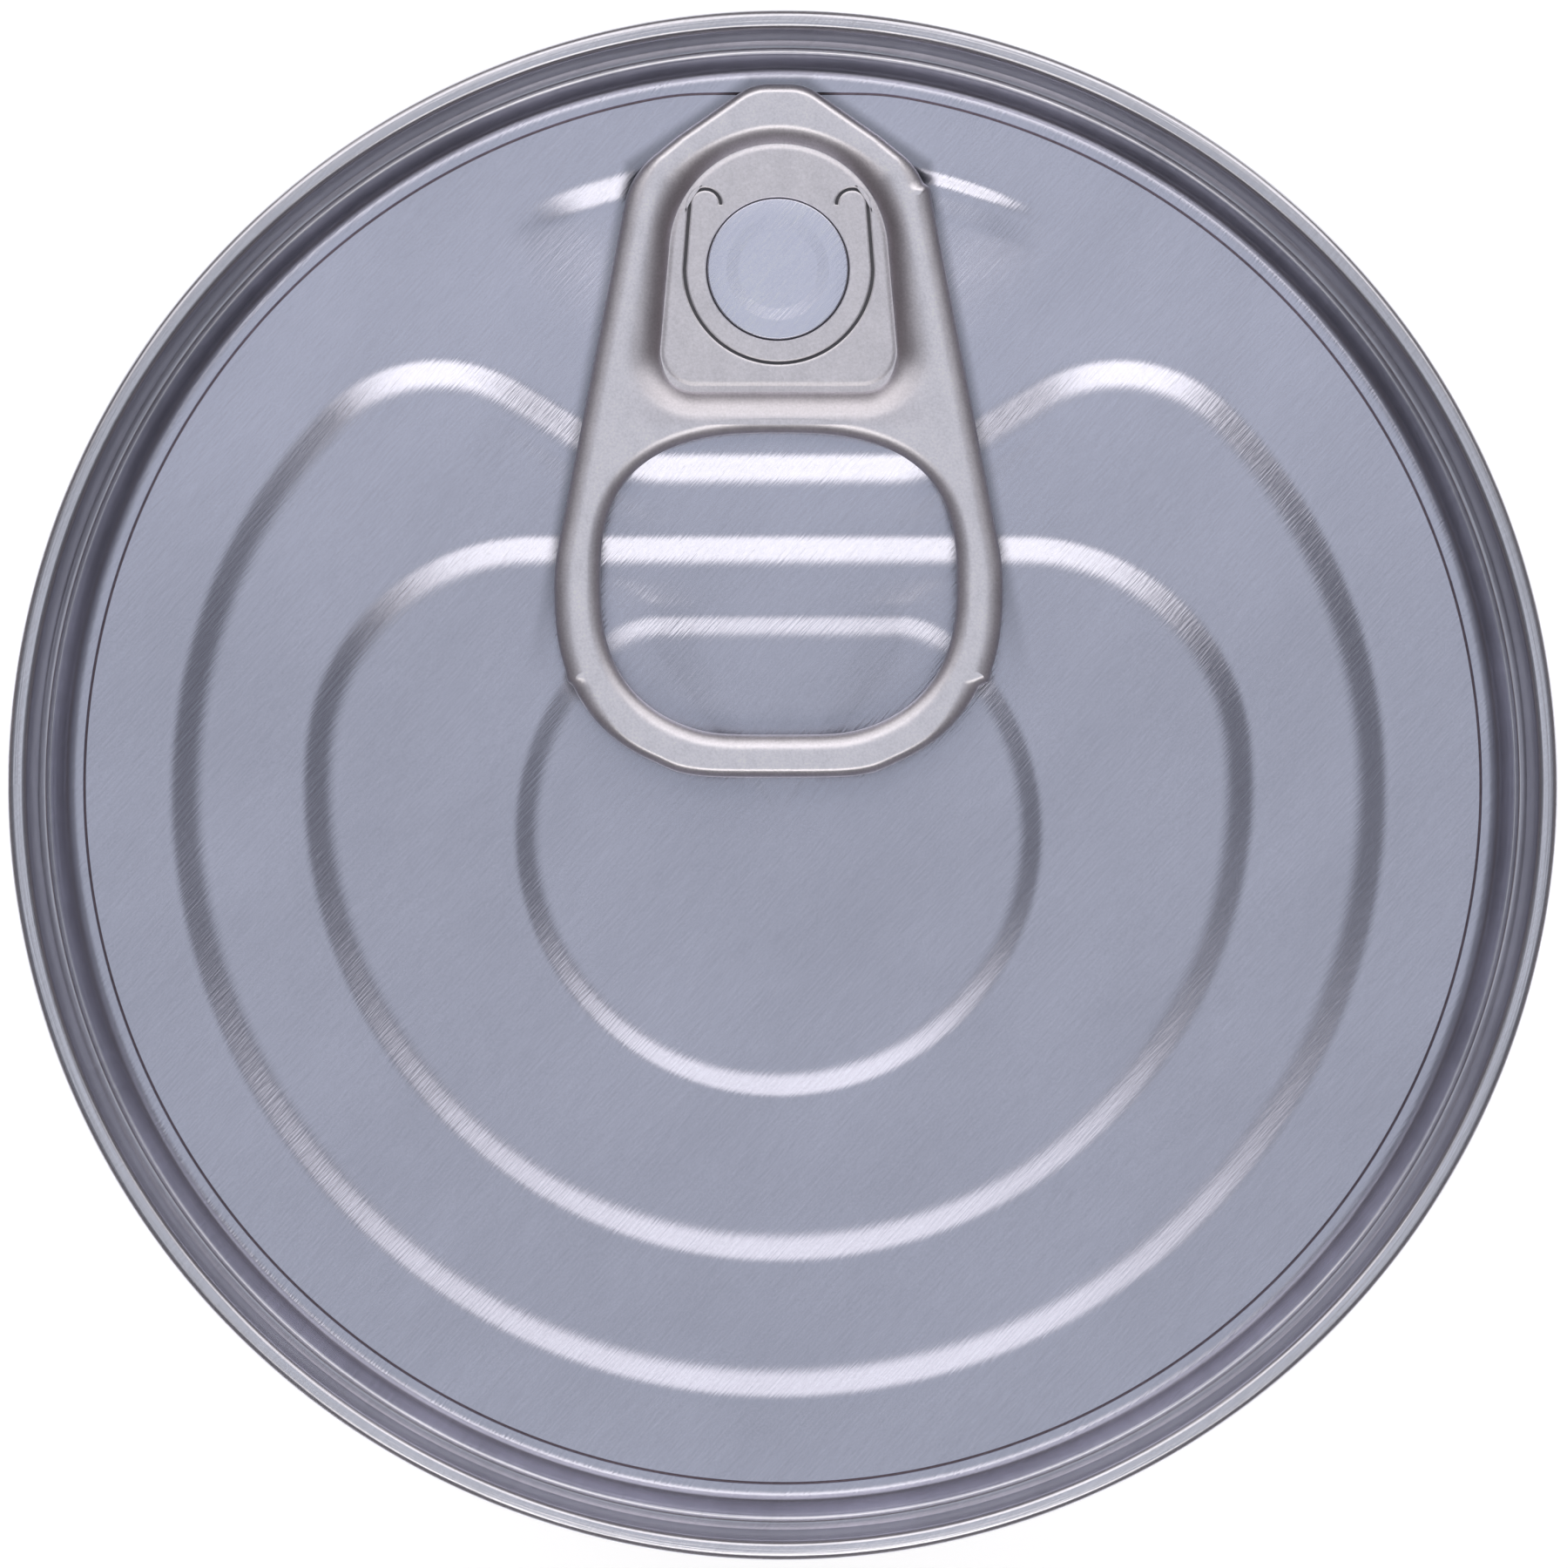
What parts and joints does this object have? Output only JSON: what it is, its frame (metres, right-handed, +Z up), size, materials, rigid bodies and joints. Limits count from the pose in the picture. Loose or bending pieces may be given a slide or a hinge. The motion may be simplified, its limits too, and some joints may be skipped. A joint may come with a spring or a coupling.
{
  "type": "food can",
  "caption": "Shut steel food can with double seams, a beaded body and an easy-open lid with a riveted ring-pull tab.",
  "frame": {"origin": "on the floor, under the middle of the upright can", "axes": "+Z up along the can's axis, through the lid; +Y from the can's middle towards the pull tab's nose"},
  "size_m": [0.0764, 0.0764, 0.11],
  "materials": {
    "body_tinplate": "bright tinplate with rolled beads and a narrow welded side seam",
    "bottom_tinplate": "plain tinplate with fine mill grain",
    "lid_metal": "clear-lacquered cool grey metal with fine diagonal mill grain",
    "tab_metal": "satin warm grey metal with a fine matte grain"
  },
  "bodies": {
    "root": {"can_body": "body_tinplate", "bottom_end": "bottom_tinplate", "lid": "lid_metal", "pull_tab": "tab_metal"}
  },
  "joints": []
}
